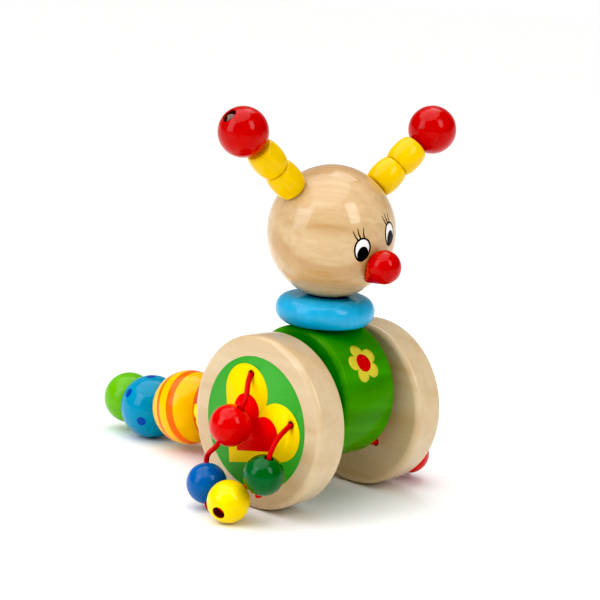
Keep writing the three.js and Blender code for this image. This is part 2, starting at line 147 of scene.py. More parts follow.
# ---- Places worked out from the sizes -------------------------------------------------------
axle_low, axle_high = (Vector(corner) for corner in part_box("axle"))
SHIFT = (axle_low + axle_high) / 2
SHIFT.z = 0
AXLE_Z = WHEEL["radius"]
OUTER_FACE = WHEEL["inner"] + WHEEL["width"]
BARREL_CENTRE = Vector((0, 0, AXLE_Z + BARREL["rise"]))
SEAT_Z = BARREL_CENTRE.z + BARREL["radius"] - BARREL["seat_cut"]
RING_Z = SEAT_Z + GAP
HEAD_FLAT = RING_Z + RING["height"] + GAP
HEAD_CENTRE = Vector((HEAD["forward"], 0, HEAD_FLAT + HEAD["half_height"] - HEAD["flat_cut"]))
UP = Vector((0, 0, 1))


def at(point):
    """A toy-frame point in millimetres as a row-frame point in metres."""
    return Vector(point) * MM + SHIFT


def heading(azimuth, elevation):
    a, e = math.radians(azimuth), math.radians(elevation)
    return Vector((math.cos(e) * math.cos(a), math.cos(e) * math.sin(a), math.sin(e)))


def side_circle(angle, radius=1):
    return Vector((radius * math.cos(math.radians(angle)), 0, radius * math.sin(math.radians(angle))))


def arc(cx, cy, radius, start, end, steps):
    angles = (math.radians(start + (end - start) * i / steps) for i in range(steps + 1))
    return [(cx + radius * math.cos(a), cy + radius * math.sin(a)) for a in angles]


def link_object(name, data, matrix=None):
    obj = bpy.data.objects.new(name, data)
    obj.matrix_world = matrix or Matrix.Identity(4)
    bpy.context.collection.objects.link(obj)
    return obj


# ---- Camera ---------------------------------------------------------------------------------
def add_camera():
    azimuth, elevation, roll = 42.63, 10.68, 3.41
    back = heading(azimuth - 90, elevation)
    right = heading(azimuth, 0)
    up = back.cross(right)
    tilt = math.radians(roll)
    side = right * math.cos(tilt) + up * math.sin(tilt)
    top = up * math.cos(tilt) - right * math.sin(tilt)
    data = bpy.data.cameras.new("camera")
    data.sensor_width = 36
    data.lens = 97.78
    turn = Matrix((side, top, back)).transposed().to_4x4()
    place = Matrix.Translation(at((494.30, -554.49, 231.86)))
    bpy.context.scene.camera = link_object("camera", data, place @ turn)


add_camera()


# ---- Material helpers -----------------------------------------------------------------------
def srgb(code):
    """A hex colour as linear RGBA."""
    channels = [int(code[i:i + 2], 16) / 255 for i in (0, 2, 4)]
    return [c / 12.92 if c <= 0.04045 else ((c + 0.055) / 1.055) ** 2.4 for c in channels] + [1]


class Nodes:
    """A material's node tree, with short ways to add to it."""

    def __init__(self, name, roughness, specular=0.5, coat=0.0, coat_roughness=0.05):
        self.material = bpy.data.materials.new(name)
        self.material.use_nodes = True
        self.tree = self.material.node_tree
        self.shader = self.tree.nodes["Principled BSDF"]
        self.coords = self.add("TexCoord").outputs["Object"]
        self.feed(self.shader, {
            "Roughness": roughness, "Specular IOR Level": specular,
            "Coat Weight": coat, "Coat Roughness": coat_roughness,
        })

    def add(self, kind):
        return self.tree.nodes.new("ShaderNode" + kind)

    def feed(self, node, values):
        """Sets plain values on a node's sockets, and links outputs to them."""
        for socket, value in values.items():
            if isinstance(value, (float, int, list, tuple)):
                node.inputs[socket].default_value = value
            else:
                self.tree.links.new(value, node.inputs[socket])
        return node

    def features(self, along, across, turn=(0, 0, 0)):
        """Coordinates that count features of a size in millimetres, drawn out along a turned X axis."""
        node = self.add("Mapping")
        node.vector_type = "TEXTURE"
        scale = (along * MM, across * MM, across * MM)
        self.feed(node, {"Scale": scale, "Rotation": turn, "Vector": self.coords})
        return node.outputs["Vector"]

    def noise(self, vector, detail=3.0, distortion=0.0):
        values = {"Scale": 1, "Detail": detail, "Roughness": 0.55, "Distortion": distortion}
        return self.feed(self.add("TexNoise"), {"Vector": vector} | values).outputs["Fac"]

    def ramp(self, factor, stops):
        node = self.add("ValToRGB")
        ramp = node.color_ramp
        while len(ramp.elements) < len(stops):
            ramp.elements.new(0.5)
        for element, (place, colour) in zip(ramp.elements, stops):
            element.position = place
            element.color = colour
        return self.feed(node, {"Fac": factor}).outputs["Color"]

    def mix(self, factor, first, second, blend="MIX"):
        node = self.add("Mix")
        node.data_type = "RGBA"
        node.blend_type = blend
        return self.feed(node, {0: factor, 6: first, 7: second}).outputs[2]

    def math(self, operation, *values):
        node = self.add("Math")
        node.operation = operation
        return self.feed(node, dict(enumerate(values))).outputs[0]

    def split(self, vector):
        return self.feed(self.add("SeparateXYZ"), {"Vector": vector}).outputs

    def rough(self, factor, low, high):
        node = self.feed(self.add("MapRange"), {"To Min": low, "To Max": high, "Value": factor})
        self.feed(self.shader, {"Roughness": node.outputs[0]})

    def bump(self, height, depth, strength=1.0):
        """Bump of a depth in millimetres."""
        values = {"Strength": strength, "Distance": depth * MM, "Height": height}
        node = self.feed(self.add("Bump"), values)
        self.feed(self.shader, {"Normal": node.outputs["Normal"]})

    def colour(self, output):
        self.feed(self.shader, {"Base Color": output})


WHITE = srgb("ffffff")

# Turns that lay the grain along a piece's own axes.
ALONG_X = (0, 0, 0)
ALONG_Z = (0, math.pi / 2, 0)


def wood_material(name, pale, mid, dark, turn=ALONG_X, figure=1.0):
    """Pale close-grained wood under a thin satin varnish; figure is how strongly its grain shows."""
    n = Nodes(name, 0.5, specular=0.1, coat=0.9, coat_roughness=0.12)
    bands = n.noise(n.features(120, 15, turn), detail=2, distortion=0.4)
    rings = n.noise(n.features(160, 3, turn), detail=1, distortion=0.5)
    fibres = n.noise(n.features(26, 0.5, turn), detail=1)
    base = n.ramp(bands, [(0.36, srgb(dark)), (0.5, srgb(mid)), (0.64, srgb(pale))])
    ring_tone = n.ramp(rings, [(0.4, srgb("dcbf9a")), (0.56, WHITE)])
    fibre_tone = n.ramp(fibres, [(0.3, srgb("dccab0")), (0.6, WHITE)])
    ringed = n.mix(0.24 * figure, base, ring_tone, "MULTIPLY")
    n.colour(n.mix(0.16 * figure, ringed, fibre_tone, "MULTIPLY"))
    n.rough(fibres, 0.46, 0.54)
    n.bump(fibres, 0.004, 0.3)
    return n.material


# Roughness and specular level of paint, and the range of roughness over its surface.
PAINT_FINISH = (0.25, 0.25)
PAINT_GLOSS = (0.17, 0.24)


def lacquer(n, tone, gloss=PAINT_GLOSS):
    """Finishes a paint's nodes: the colour, and the soft ripple of brushed-out lacquer on wood."""
    cloud = n.noise(n.features(11, 11), detail=2)
    shade = n.ramp(cloud, [(0.35, srgb("d8d8d8")), (0.65, WHITE)])
    n.colour(n.mix(0.12, tone, shade, "MULTIPLY"))
    n.rough(cloud, *gloss)
    n.bump(n.noise(n.features(12, 1.6, ALONG_Z), detail=2), 0.02, 0.4)
    return n.material


def solid_colour(n, code):
    """A colour that is a little deeper along the grain beneath it."""
    shade = n.noise(n.features(26, 5, ALONG_Z), detail=2)
    base = srgb(code)
    deeper = [c * 0.9 for c in base[:3]] + [1]
    return n.ramp(shade, [(0.35, deeper), (0.6, base)])


def paint_material(name, code, gloss=PAINT_GLOSS):
    n = Nodes(name, *PAINT_FINISH)
    return lacquer(n, solid_colour(n, code), gloss)


def ink_material(name, code):
    """Screen-printed ink: a flat colour with the wood's fibres just showing."""
    n = Nodes(name, 0.42, specular=0.12)
    fibres = n.noise(n.features(14, 0.5), detail=2)
    base = srgb(code)
    paler = [min(1, c * 1.06 + 0.003) for c in base[:3]] + [1]
    n.colour(n.ramp(fibres, [(0.35, base), (0.7, paler)]))
    n.rough(fibres, 0.38, 0.46)
    return n.material


def stained_material(name, deep, light):
    """Wood stained a clear green and lacquered, with the grain showing faintly through."""
    n = Nodes(name, 0.22, specular=0.12)
    bands = n.noise(n.features(60, 9, ALONG_Z), detail=2, distortion=0.3)
    fibres = n.noise(n.features(18, 0.8, ALONG_Z), detail=2)
    tone = n.ramp(bands, [(0.35, srgb(deep)), (0.65, srgb(light))])
    fibre_tone = n.ramp(fibres, [(0.3, srgb("c4d0bc")), (0.65, WHITE)])
    n.colour(n.mix(0.16, tone, fibre_tone, "MULTIPLY"))
    n.rough(fibres, 0.2, 0.27)
    n.bump(fibres, 0.006, 0.4)
    return n.material


def cord_material(name, code, dark, braid=1.5, around=8):
    """Braided cord, painted darker in the grooves between its strands as painted shade. The mesh's UVs run
    in millimetres along it and once around it.
    """
    n = Nodes(name, 0.6, specular=0.25)
    run, turn, _ = n.split(n.add("TexCoord").outputs["UV"])
    waves = []
    for way in (1, -1):
        lay = n.math("MULTIPLY", run, way * math.tau / (braid * 2))
        wrap = n.math("MULTIPLY", turn, math.tau * around / 2)
        waves.append(n.math("SINE", n.math("ADD", lay, wrap)))
    height = n.math("ABSOLUTE", n.math("MULTIPLY", *waves))
    # The second colour is painted shade, deepest in the grooves of the braid.
    n.colour(n.ramp(height, [(0.0, srgb(dark)), (0.4, srgb(code))]))
    n.bump(height, 0.12, 0.7)
    return n.material


def striped_material(name, code, stripe_code, stripes):
    """Painted bands round a bead's own Z axis: (place, width) pairs in millimetres."""
    n = Nodes(name, *PAINT_FINISH)
    along = n.split(n.coords)["Z"]
    tone = solid_colour(n, code)
    for place, width in stripes:
        inside = n.math("COMPARE", along, place * MM, width / 2 * MM)
        tone = n.mix(inside, tone, srgb(stripe_code))
    return lacquer(n, tone)


def dotted_material(name, code, dot_code, radius, dots):
    """Painted round dots at points of the bead's surface, in its own frame, in metres."""
    n = Nodes(name, *PAINT_FINISH)
    nearest = None
    for dot in dots:
        gap = n.add("VectorMath")
        gap.operation = "DISTANCE"
        away = n.feed(gap, {0: n.coords, 1: tuple(dot)}).outputs["Value"]
        nearest = away if nearest is None else n.math("MINIMUM", nearest, away)
    inside = n.math("LESS_THAN", nearest, radius * MM)
    return lacquer(n, n.mix(inside, solid_colour(n, code), srgb(dot_code)))


WOODS = {
    "head": wood_material("wood_head", "d2b386", "caa97a", "bf9764", (0.1, -0.06, math.radians(40)), 0.8),
    "wheel": wood_material("wood_wheel", "d0b993", "ccb28a", "c7a97e", figure=0.3),
    # The recess lining: bare wood painted dark brown as painted shade for the shadow inside a recess.
    "bore": wood_material("wood_bore_painted_shade", "7a4424", "6c3a1e", "5c3018", ALONG_Z),
    "rod": wood_material("wood_rod", "cfb083", "caa97a", "c29b6a", ALONG_Z),
}
RED = paint_material("paint_red", "be0300")
ANTENNA_YELLOW = paint_material("paint_antenna_yellow", "ecc000")
LOOP_PAINTS = {
    "red": paint_material("paint_bright_red", "d40300"),
    "blue": paint_material("paint_blue", "0a5aa2"),
    "yellow": paint_material("paint_yellow", "fbd800"),
    "green": paint_material("paint_dark_green", "045a22"),
}
BARREL_GREEN = stained_material("stain_green", "347a00", "3c9000")
RING_BLUE = paint_material("paint_sky_blue", "2ca6d4", (0.1, 0.16))
TAIL_GREEN = paint_material("paint_apple_green", "66b414")
# Each cord's second colour is the painted shade in its braid's grooves.
RED_CORD = cord_material("cord_red", "d80812", "8c0406")
ELASTIC = cord_material("cord_elastic", "8a7468", "54443c")
INK_CODES = dict(
    green="3f9c34", yellow="f5d000", red="e40406", petal="c4b838",
    flower_red="bc0406", white="e9e7e4", black="0c0b0a", lash="1c0e0a",
)
INKS = {name: ink_material(f"ink_{name}", code) for name, code in INK_CODES.items()}


# ---- Mesh helpers ---------------------------------------------------------------------------
def finish_mesh(obj, sharp=35):
    bm = bmesh.new()
    bm.from_mesh(obj.data)
    bmesh.ops.remove_doubles(bm, verts=bm.verts, dist=1e-7)
    bmesh.ops.recalc_face_normals(bm, faces=bm.faces)
    bm.to_mesh(obj.data)
    bm.free()
    obj.data.shade_smooth()
    obj.data.set_sharp_from_angle(angle=math.radians(sharp))


def new_mesh(name, points, faces, material):
    mesh = bpy.data.meshes.new(name)
    mesh.from_pydata([tuple(p) for p in points], [], faces)
    mesh.materials.append(material)
    return mesh


def new_object(name, points, faces, material, matrix=None):
    """A mesh object of points in metres, in its own frame, placed by a matrix."""
    obj = link_object(name, new_mesh(name, points, faces, material), matrix)
    finish_mesh(obj)
    return obj


def facing(centre, axis):
    """A placing matrix: the piece's own Z along axis, its origin at a toy-frame point."""
    turn = Vector(axis).normalized().to_track_quat("Z", "Y")
    return Matrix.Translation(at(centre)) @ turn.to_matrix().to_4x4()


def lathe(name, profile, material, matrix, around=96):
    """Turns a profile of (radius, height) in millimetres about the piece's own Z axis."""
    closed = profile[0] == profile[-1]
    rows = profile[:-1] if closed else profile
    points, rings = [], []
    for radius, height in rows:
        if radius < 1e-6:
            rings.append([len(points)])
            points.append((0, 0, height * MM))
            continue
        rings.append(list(range(len(points), len(points) + around)))
        for i in range(around):
            a = math.tau * i / around
            points.append((radius * MM * math.cos(a), radius * MM * math.sin(a), height * MM))
    pairs = list(zip(rings, rings[1:])) + ([(rings[-1], rings[0])] if closed else [])
    faces = []
    for low, high in pairs:
        for i in range(around):
            j = (i + 1) % around
            face = [low[i % len(low)], low[j % len(low)], high[j % len(high)], high[i % len(high)]]
            unique = list(dict.fromkeys(face))
            if len(unique) > 2:
                faces.append(unique)
    return new_object(name, points, faces, material, matrix)


def sleeve(inner, outer, low, high):
    return [(inner, low), (outer, low), (outer, high), (inner, high), (inner, low)]


def straight(start, end, steps):
    return [start + (end - start) * i / steps for i in range(steps + 1)]


def bend(start, middle, end, steps):
    """Points from start to end on a curve drawn toward middle."""
    shares = (i / steps for i in range(steps + 1))
    return [start * (1 - t) ** 2 + middle * 2 * t * (1 - t) + end * t * t for t in shares]


def rod(name, start, end, radius, material=None, around=32):
    start, end = Vector(start), Vector(end)
    profile = [(0, 0), (radius, 0), (radius, (end - start).length), (0, (end - start).length)]
    return lathe(name, profile, material, facing(start, end - start), around)


def ball(name, centre, radius, around=64):
    return lathe(name, arc(0, 0, radius, -90, 90, around // 2), None, facing(centre, UP), around)


def box(name, low, high):
    low, high = at(low), at(high)
    corners = [Vector((x, y, z)) for x in (low.x, high.x) for y in (low.y, high.y) for z in (low.z, high.z)]
    faces = [(0, 1, 3, 2), (4, 6, 7, 5), (0, 4, 5, 1), (2, 3, 7, 6), (0, 2, 6, 4), (1, 5, 7, 3)]
    return new_object(name, corners, faces, None)


def carve(obj, *tools, operation="DIFFERENCE"):
    """Cuts the tools out of a piece (or joins them to it), and keeps the result as its mesh."""
    for tool in tools:
        step = obj.modifiers.new("carve", "BOOLEAN")
        step.operation = operation
        step.solver = "EXACT"
        step.object = tool
    graph = bpy.context.evaluated_depsgraph_get()
    mesh = bpy.data.meshes.new_from_object(obj.evaluated_get(graph))
    obj.modifiers.clear()
    obj.data = mesh
    while len(mesh.materials) > 1:
        mesh.materials.pop()
    for polygon in mesh.polygons:
        polygon.material_index = 0
    for tool in tools:
        bpy.data.objects.remove(tool)
    finish_mesh(obj)
    return obj


def soften(obj, width=0.35):
    """Rounds a turned piece's sharp edges a little."""
    step = obj.modifiers.new("edges", "BEVEL")
    step.width = width * MM
    step.segments = 2
    step.limit_method = "ANGLE"
    step.angle_limit = math.radians(40)
    return obj


def layer(name, material, points, faces, lift):
    """A thin closed coat of ink, made from one sheet of faces."""
    obj = new_object(name, points, faces, material)
    step = obj.modifiers.new("coat", "SOLIDIFY")
    step.thickness = lift * MM
    step.offset = 0
    return obj


def filled_outline(outline, centre, surface, rings=6):
    """Points and faces of a star-shaped outline in (u, v), laid on a curved surface."""
    points = [surface(*centre)]
    count = len(outline)
    faces = []
    for ring in range(1, rings + 1):
        share = ring / rings
        for u, v in outline:
            points.append(surface(centre[0] + (u - centre[0]) * share, centre[1] + (v - centre[1]) * share))
        for i in range(count):
            j = (i + 1) % count
            outer = 1 + (ring - 1) * count
            if ring == 1:
                faces.append((0, outer + i, outer + j))
            else:
                faces.append((outer - count + i, outer + i, outer + j, outer - count + j))
    return points, faces


def band(inner, outer, surface, steps=3):
    """Points and faces between two outlines of as many points."""
    count = len(inner)
    points, faces = [], []
    for step in range(steps + 1):
        t = step / steps
        points += [surface(a[0] + (b[0] - a[0]) * t, a[1] + (b[1] - a[1]) * t) for a, b in zip(inner, outer)]
    for step in range(steps):
        for i in range(count):
            j = (i + 1) % count
            row = step * count
            faces.append((row + i, row + j, row + count + j, row + count + i))
    return points, faces


def tube(name, path, radius, material, around=20):
    """A round tube along toy-frame points, with round ends and UVs in millimetres along it."""
    path = [Vector(p) for p in path]
    ways = [(path[min(i + 1, len(path) - 1)] - path[max(i - 1, 0)]).normalized() for i in range(len(path))]
    side = ways[0].orthogonal().normalized()
    rows, run, length = [], [], 0.0
    for i, (place, way) in enumerate(zip(path, ways)):
        side = (side - way * side.dot(way)).normalized()
        length += (place - path[i - 1]).length if i else 0
        rows.append((place, side.copy(), way.cross(side), radius, length))
    for end, index, sign in ((0, 0, -1), (-1, -1, 1)):
        place, u, v, _, at_length = rows[index]
        for lift, share in ((0.35, 0.93), (0.7, 0.7), (0.95, 0.3)):
            cap = (place + ways[end] * sign * radius * lift * 0.5, u, v, radius * share, at_length)
            rows.insert(0 if end == 0 else len(rows), cap)
    points, faces, uvs = [], [], []
    for place, u, v, r, _ in rows:
        for k in range(around):
            a = math.tau * k / around
            points.append(at(place + u * r * math.cos(a) + v * r * math.sin(a)))
    for i in range(len(rows) - 1):
        for k in range(around):
            j = (k + 1) % around
            base = i * around
            faces.append((base + k, base + j, base + around + j, base + around + k))
            low, high = rows[i][4], rows[i + 1][4]
            near, far = k / around, (k + 1) / around
            uvs.append(((low, near), (low, far), (high, far), (high, near)))
    last = (len(rows) - 1) * around
    faces.append(tuple(range(around - 1, -1, -1)))
    faces.append(tuple(range(last, last + around)))
    mesh = new_mesh(name, points, faces, material)
    layer_uv = mesh.uv_layers.new(name="cord")
    flat = [value for face in uvs for corner in face for value in corner]
    layer_uv.data.foreach_set("uv", flat + [0.0] * (2 * len(layer_uv.data) - len(flat)))
    mesh.shade_smooth()
    return link_object(name, mesh)


def knot(name, centre, axis, size, radius, material):
    """An overhand knot pulled tight: a trefoil of cord, its hole along axis."""
    place = facing((0, 0, 0), axis).to_3x3()
    path = []
    steps = 60
    for i in range(steps + 1):
        t = math.tau * i / steps
        reach = 2 + math.cos(3 * t)
        flat = Vector((reach * math.cos(2 * t), reach * math.sin(2 * t), 1.35 * math.sin(3 * t)))
        path.append(Vector(centre) + place @ (flat * size / 3))
    return tube(name, path, radius, material, around=14)


def shade_recess(name, body, matrix, radius, low, high):
    """The bare wood inside a painted bead's recess, with painted shade: dark brown, far darker than the
    other bare wood, for the shadow in the recess.
    """
    profile = sleeve(radius - 0.1, radius - 0.02, low, high)
    put(lathe(name, profile, WOODS["bore"], matrix, 40), body, "natural_wood")


def put(obj, body, slot_name, *nodes):
    """Rides a piece on its body and hides the CAD nodes it stands for; slot_name is not used."""
    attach(obj, body)
    if nodes:
        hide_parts(*nodes)
    return obj


# ---- Bead loops, made first because their cords are free ------------------------------------
def loop_hole(loop, offset, y=0.0):
    place = side_circle(loop["print_angle"] + offset, LOOP_CORD["circle"])
    return Vector((place.x, loop["sign"] * (OUTER_FACE + y), place.z + AXLE_Z))


def bezier(start, lead, follow, end, steps=16):
    for i in range(1, steps + 1):
        t = i / steps
        s = 1 - t
        yield start * s ** 3 + lead * 3 * s * s * t + follow * 3 * s * t * t + end * t ** 3


def loop_route(loop):
    """The two strands' points, and the place and heading of each bead."""
    sign = loop["sign"]

    def place(p):
        return Vector((p[0], sign * (OUTER_FACE + p[1]), AXLE_Z + p[2]))

    def way(h):
        return Vector((h[0], sign * h[1], h[2])).normalized()

    stations = [(colour, place(p), way(h)) for colour, p, h in loop["stations"]]
    stations.append((None, loop_hole(loop, -loop["first_hole"], GAP), way(loop["enters"])))
    exit_point, going = loop_hole(loop, loop["first_hole"], GAP), way(loop["leaves"])
    strands, beads = [[exit_point], []], {}
    strand = strands[0]
    for colour, centre, direction in stations:
        half = LOOP_BEAD.get(colour, 0)
        aside = UP.cross(direction).normalized() * LOOP_KNOT["strand"] * sign
        offset = aside if colour == "yellow" else Vector((0, 0, 0))
        entry = centre - direction * half + offset
        reach = (entry - exit_point).length * 0.4
        strand += bezier(exit_point, exit_point + going * reach, entry - direction * reach, entry)
        if colour == "yellow":
            deep = half + LOOP_KNOT["out"] - 1
            strand += [entry + direction * deep * i / 8 for i in range(1, 9)]
            strand = strands[1]
            exit_point = centre - direction * half - offset
            strand += [exit_point + direction * deep * i / 8 for i in range(8, -1, -1)]
            going = -direction
        else:
            exit_point, going = centre + direction * half, direction
            strand += straight(entry, exit_point, 8)[1:] if half else []
        if colour:
            beads[colour] = (centre, direction)
    return strands, beads


def path_length(path):
    return sum((b - a).length for a, b in zip(path, path[1:]))


def add_loop(loop):
    side = loop["side"]
    body = f"loop_{side}"
    strands, beads = loop_route(loop)
    radius = LOOP_CORD["radius"]
    centre, direction = beads["yellow"]
    knot_place = centre + direction * LOOP_KNOT["out"]
    knotted = knot(f"loop_{side}_knot", knot_place, direction, KNOTS["loop"], radius, RED_CORD)
    put(knotted, body, "red_cord")
    for index, path in enumerate(strands):
        name = f"loop_cord_{side}_" + ("front", "back")[index]
        cord = tube(name, path, radius, RED_CORD)
        put(cord, body, "red_cord", *([f"loop_cord_{side}"] if index == 0 else []))
        outward = path if index == 0 else path[::-1]
        tuple(at(outward[0]))
        path_length(path) * MM
        [tuple(at(p)) for p in outward]
    for colour, (centre, direction) in beads.items():
        size = LOOP_BEAD[colour]
        throat, mouth, step = radius + PLAY, radius + PLAY, []
        if colour == "yellow":
            throat, mouth = LOOP_KNOT["throat"], LOOP_KNOT["recess"]
            floor = LOOP_KNOT["out"] - LOOP_KNOT["radius"] - GAP
            step = [(mouth, floor), (throat, floor)]
        low, high = (math.degrees(math.acos(hole / size)) for hole in (throat, mouth))
        shell = arc(0, 0, size, -low, high, 40)
        node = f"loop_{side}_bead_{colour}"
        matrix = facing(centre, direction)
        bead = lathe(node + "_shell", shell + step + shell[:1], LOOP_PAINTS[colour], matrix, 72)
        soften(bead, 0.45)
        paint = "dark_green_paint" if colour == "green" else f"{colour}_paint"
        put(bead, body if colour == "yellow" else node, paint, node)
        if step:
            rim = math.sqrt(size ** 2 - mouth ** 2) - 0.5
            # Line the recess with dark brown painted shade.
            shade_recess(node + "_bore", body, matrix, mouth, floor, rim)


for bead_loop in LOOPS:
    add_loop(bead_loop)


# ---- Wheels and axle ------------------------------------------------------------------------
def heart_outline(apex, lobe, aside, radius, steps=28):
    """A heart about its own axis: a straight-sided point at apex and two round lobes."""
    reach = math.hypot(lobe - apex, aside)
    tangent = math.atan2(aside, lobe - apex) + math.asin(radius / reach)
    start = math.degrees(tangent) + 90
    end = -math.degrees(math.atan2(aside, math.sqrt(radius ** 2 - aside ** 2)))
    half = arc(lobe, aside, radius, start, end, steps)
    return [(apex, 0)] + half + [(a, -b) for a, b in reversed(half[:-1])]


def print_layer(loop, name, outline, height, ink, holes):
    """A printed shape on a wheel's outer face, from an outline about the print's axis."""
    turn = math.radians(loop["print_angle"])
    face_y = loop["sign"] * (OUTER_FACE + height)

    def place(p):
        x = p[0] * math.cos(turn) - p[1] * math.sin(turn)
        z = p[0] * math.sin(turn) + p[1] * math.cos(turn)
        return at((x, face_y, z + AXLE_Z))

    loops_2d = [[Vector((a, b, 0)) for a, b in line] for line in [outline] + holes]
    triangles = tessellate_polygon(loops_2d)
    points = [place(p) for line in loops_2d for p in line]
    faces = [tuple(t) for t in triangles]
    obj = layer(f"print_{name}_{loop['side']}", INKS[ink], points, faces, INK["wheel"])
    put(obj, "wheelset", f"print_{ink}")


def add_wheel(loop):
    side, sign = loop["side"], loop["sign"]
    r, w, f = WHEEL["radius"], WHEEL["width"], WHEEL["fillet"]
    bore = AXLE_RADIUS + GAP
    profile = [(0, WHEEL["seat"]), (bore, WHEEL["seat"]), (bore, 0)]
    profile += arc(r - f, f, f, -90, 0, 8) + arc(r - f, w - f, f, 0, 90, 8) + [(0, w)]
    inner = Vector((0, sign * WHEEL["inner"], AXLE_Z))
    turn = Matrix.Translation(at(inner)) @ Matrix.Rotation(-sign * math.pi / 2, 4, "X")
    wheel = lathe(f"wheel_{side}_disc", profile, WOODS["wheel"], turn, 160)
    drills = []
    holes = []
    for offset in (-LOOP_CORD["spread"], LOOP_CORD["spread"]):
        mouth = loop_hole(loop, offset, 2)
        far = mouth.copy()
        far.y = sign * (WHEEL["inner"] - 2)
        drills.append(rod("drill", far, mouth, LOOP_CORD["hole"]))
        c = side_circle(offset, LOOP_CORD["circle"])
        holes.append(arc(c.x, c.z, LOOP_CORD["hole"] + 0.05, 0, 345, 23))
    carve(wheel, *drills)
    soften(wheel, 0.3)
    put(wheel, "wheelset", "natural_wood", f"wheel_{side}")
    print_layer(loop, "disc", arc(0, 0, PRINT_DISC, 0, 357, 119), 0.03, "green", holes)
    print_layer(loop, "heart", heart_outline(**HEART), 0.06, "yellow", holes)
    print_layer(loop, "heart_middle", heart_outline(**HEART_MIDDLE), 0.09, "red", [])


def add_wheel_cord(loop):
    """The stretch of cord across the wheel's inner face."""
    sign, radius = loop["sign"], LOOP_CORD["radius"]
    back = -WHEEL["width"] - GAP - radius
    corner = radius * 1.5
    holes = (loop["first_hole"], -loop["first_hole"])
    ends = [loop_hole(loop, hole, -radius * 1.6) for hole in holes]
    low = [loop_hole(loop, hole, back) for hole in holes]
    across = (low[1] - low[0]).normalized()
    rise = Vector((0, sign * corner, 0))
    path = straight(ends[0], low[0] + rise, 6)[:-1]
    path += bend(low[0] + rise, low[0], low[0] + across * corner, 8)
    path += bend(low[1] - across * corner, low[1], low[1] + rise, 8)
    path += straight(low[1] + rise, ends[1], 6)[1:]
    cord = tube(f"wheel_cord_{loop['side']}_run", path, radius, RED_CORD)
    put(cord, "wheelset", "red_cord", f"wheel_cord_{loop['side']}")
    # The knot that keeps the cord from pulling through stands on the inner face beside its hole.
    size = KNOTS["wheel"]
    beside = low[0] + across * size + Vector((0, -sign * (size + radius), 0)) * 0.85
    tied = knot(f"wheel_cord_{loop['side']}_knot", beside, across, size, radius, RED_CORD)
    put(tied, "wheelset", "red_cord")


def add_spacer(loop):
    side, sign = loop["side"], loop["sign"]
    length = WHEEL["inner"] - BARREL["width"] / 2 - 2 * GAP
    start = (0, sign * (BARREL["width"] / 2 + GAP), AXLE_Z)
    profile = sleeve(AXLE_RADIUS + GAP, SPACER_RADIUS, 0, length)
    collar = lathe(f"spacer_{side}_collar", profile, WOODS["rod"], facing(start, (0, sign, 0)))
    put(soften(collar), "wheelset", "natural_wood", f"wheel_spacer_{side}")


for bead_loop in LOOPS:
    add_wheel(bead_loop)
    add_wheel_cord(bead_loop)
    add_spacer(bead_loop)
axle_reach = WHEEL["inner"] + WHEEL["seat"] - GAP
axle_rod = rod("axle_rod", (0, -axle_reach, AXLE_Z), (0, axle_reach, AXLE_Z), AXLE_RADIUS, WOODS["rod"], 48)
put(soften(axle_rod, 0.6), "wheelset", "natural_wood", "axle")


# ---- Tail -----------------------------------------------------------------------------------
def tail_centres():
    centres, before, reach = [], BARREL_CENTRE, BARREL["radius"] + GAP * 2
    for bead in TAIL_BEADS:
        radii = reach + bead["radius"] - bead.get("nest", 0)
        if "slope" in bead:
            centre = before + side_circle(bead["slope"], radii)
        else:
            drop = before.z - bead["radius"]
            centre = Vector((before.x - math.sqrt(radii ** 2 - drop ** 2), 0, bead["radius"]))
        centres.append(centre)
        before, reach = centre, bead["radius"]
    return centres


def tail_paint(colour, matrix, radius):
    if colour == "red":
        return RED
    if colour == "yellow":
        return striped_material("paint_amber", "f8be00", "f86600", TAIL_STRIPES)
    if colour == "green":
        return TAIL_GREEN
    turn = matrix.to_3x3().inverted()
    dots = [turn @ (heading(*place) * radius * MM) for place in TAIL_DOTS]
    return dotted_material("paint_teal_blue", "028ab2", "063f9e", TAIL_DOT_RADIUS, dots)


